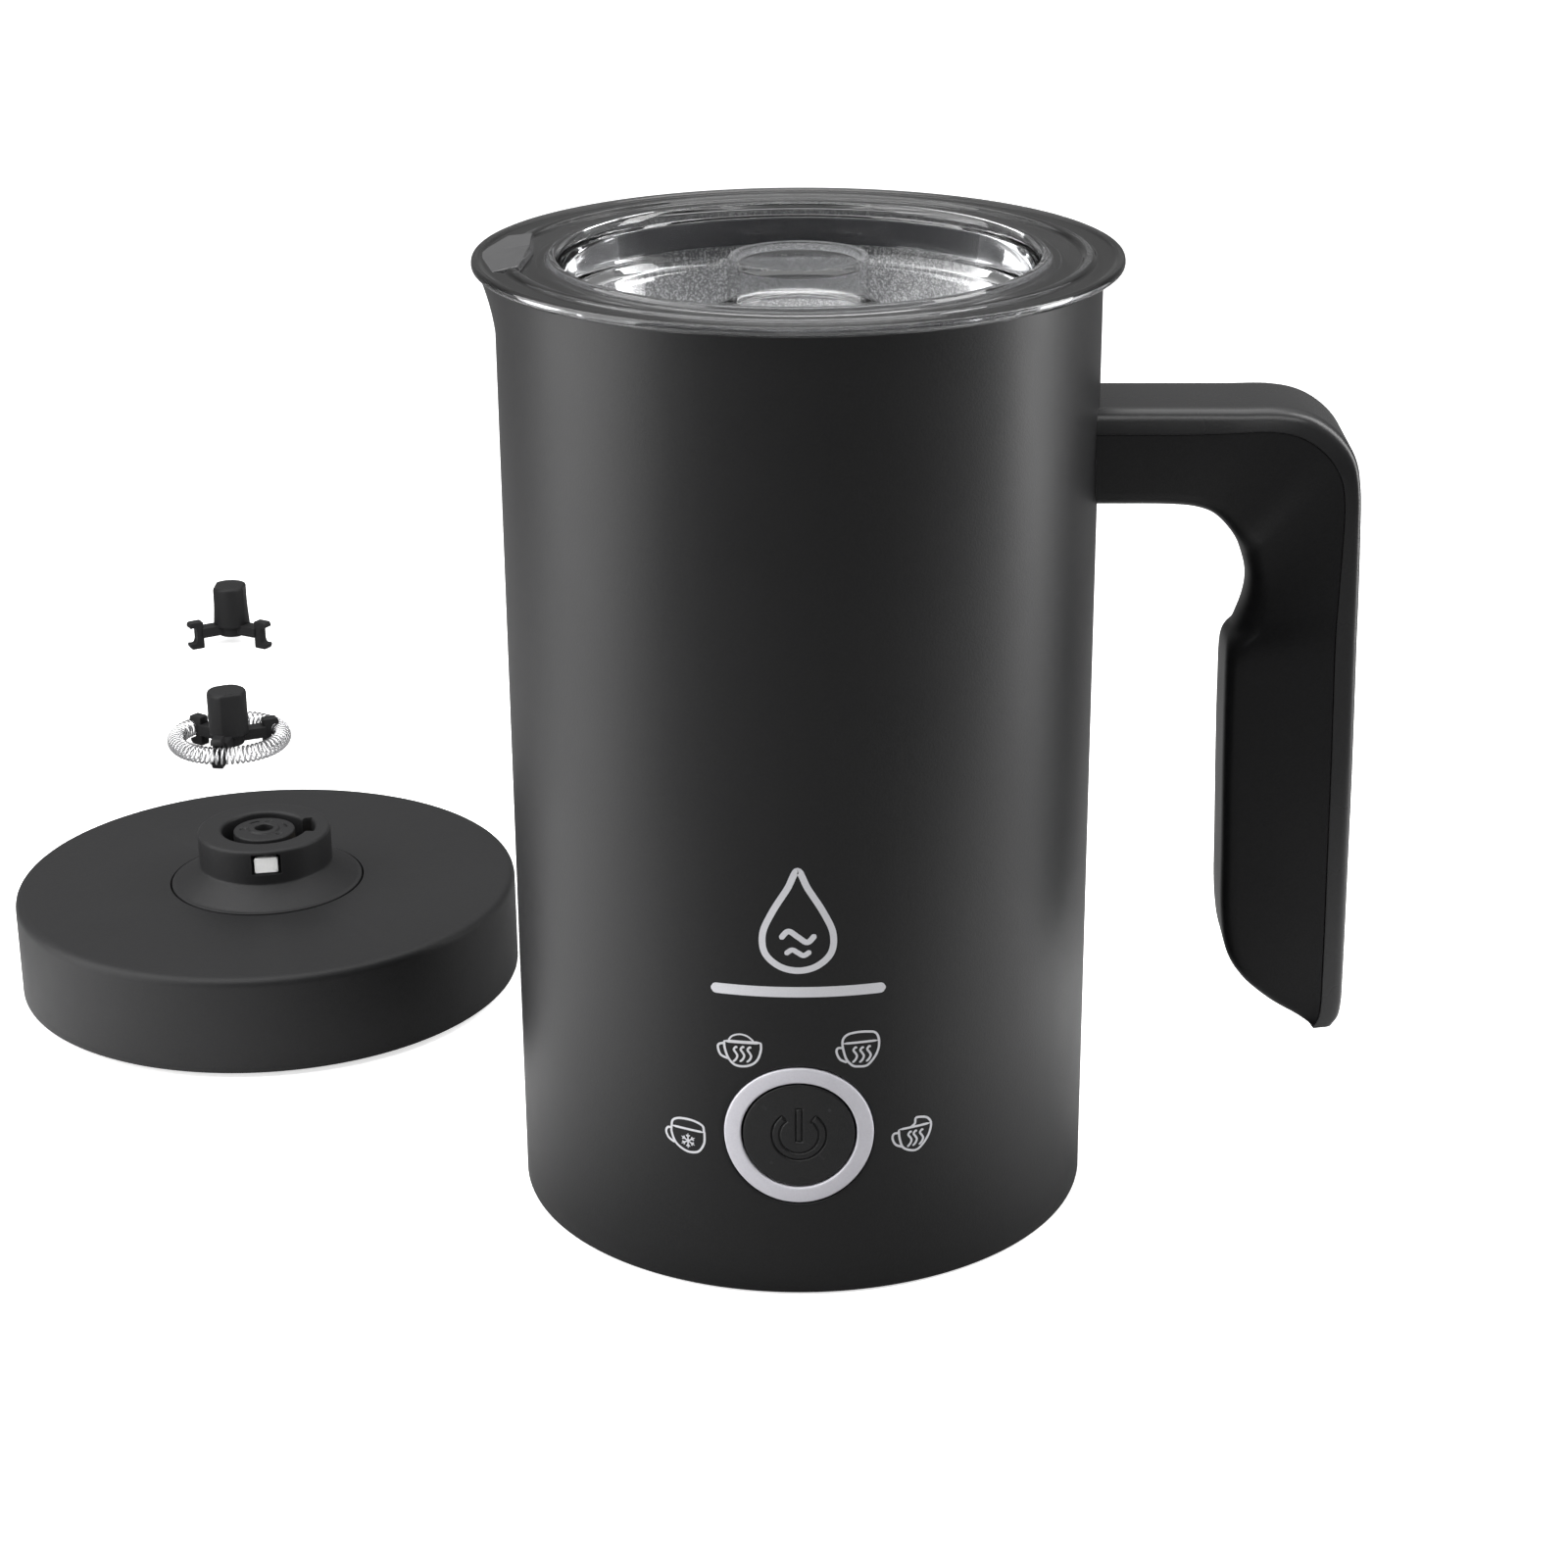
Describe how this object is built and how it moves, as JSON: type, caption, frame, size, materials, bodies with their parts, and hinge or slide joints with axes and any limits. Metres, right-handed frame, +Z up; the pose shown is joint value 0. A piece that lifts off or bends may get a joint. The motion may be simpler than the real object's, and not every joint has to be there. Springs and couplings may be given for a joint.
{
  "type": "milk frother",
  "caption": "Electric milk frother: insulated jug with hook handle, push button and clear lid, round power base and loose magnetic whisks.",
  "frame": {"origin": "on the floor, under the middle of the whole layout's bounding box", "axes": "+Z up; -Y towards the jug's button; +X towards the jug's handle; the power base and the whisks lie to -X and behind"},
  "size_m": [0.2702, 0.3684, 0.1745],
  "materials": {
    "coated_steel": "satin charcoal paint on steel",
    "cup_coating": "speckled non-stick coating",
    "black_plastic": "fine-grained charcoal plastic",
    "clear_plastic": "polished clear plastic",
    "silicone": "soft translucent grey silicone",
    "light_plastic": "light grey diffuser plastic",
    "white_plastic": "natural white nylon",
    "rubber": "matt black rubber",
    "bright_steel": "bright stainless steel",
    "brass": "bright brass",
    "aluminium": "die-cast aluminium",
    "circuit_board": "green solder mask",
    "nickel": "nickel plate"
  },
  "bodies": {
    "power_base": {"base_cover": "black_plastic", "base_foot_1": "rubber", "base_foot_2": "rubber", "base_foot_3": "rubber", "base_plate": "black_plastic", "base_screw_1": "bright_steel", "base_screw_2": "bright_steel", "base_screw_3": "bright_steel", "connector_collar": "black_plastic", "connector_core": "black_plastic", "cord_gland": "rubber", "earth_contact": "brass", "line_contact": "brass", "neutral_contact": "brass", "snap_tab": "white_plastic"},
    "jug": {"bottom_cover": "black_plastic", "button_frame": "black_plastic", "button_ring": "light_plastic", "handle_body": "black_plastic", "handle_cover": "black_plastic", "handle_plate": "bright_steel", "handle_screw_1": "bright_steel", "handle_screw_2": "bright_steel", "heater_plate": "aluminium", "heating_element": "bright_steel", "inner_cup": "cup_coating", "motor_can": "bright_steel", "motor_end_cap": "white_plastic", "motor_mount": "bright_steel", "motor_screw_1": "bright_steel", "motor_screw_2": "bright_steel", "mount_screw_1": "bright_steel", "mount_screw_2": "bright_steel", "mount_screw_3": "bright_steel", "outer_shell": "coated_steel", "power_board": "circuit_board", "socket_housing": "black_plastic", "socket_pin": "nickel", "socket_ring": "brass", "socket_screw_1": "bright_steel", "socket_screw_2": "bright_steel", "socket_screw_3": "bright_steel", "switch_board": "circuit_board", "tact_switch": "black_plastic", "temperature_sensor": "nickel", "thermal_fuse": "nickel", "whisk_post": "bright_steel"},
    "button": {"power_button": "black_plastic"},
    "rotor": {"motor_shaft": "bright_steel", "magnet_carrier": "white_plastic", "drive_magnet_1": "nickel", "drive_magnet_2": "nickel"},
    "lid": {"lid": "clear_plastic", "lid_seal": "silicone"},
    "froth_whisk": {"froth_coil": "bright_steel", "froth_hub": "black_plastic", "froth_magnet": "nickel"},
    "stir_whisk": {"stir_hub": "black_plastic", "stir_magnet": "nickel"}
  },
  "joints": [
    {"name": "jug_lift", "type": "slide", "parent": "power_base", "child": "jug", "axis": [0, 0, 1], "range_m": [0, 0.15]},
    {"name": "lid_lift", "type": "slide", "parent": "jug", "child": "lid", "axis": [0, 0, 1], "range_m": [0, 0.06]},
    {"name": "button_press", "type": "slide", "parent": "jug", "child": "button", "axis": [0, 1, 0], "range_m": [0, 0.0015], "stiffness_N_per_m": 900, "springref_m": -0.001},
    {"name": "rotor_spin", "type": "hinge", "parent": "jug", "child": "rotor", "pos_m": [0.03633, -0.12843, 0.0524], "axis": [0, 0, 1], "continuous": true},
    {"name": "froth_whisk_lift", "type": "slide", "parent": "power_base", "child": "froth_whisk", "axis": [0, 0, 1], "range_m": [0, 0.05]},
    {"name": "stir_whisk_lift", "type": "slide", "parent": "power_base", "child": "stir_whisk", "axis": [0, 0, 1], "range_m": [0, 0.05]}
  ]
}
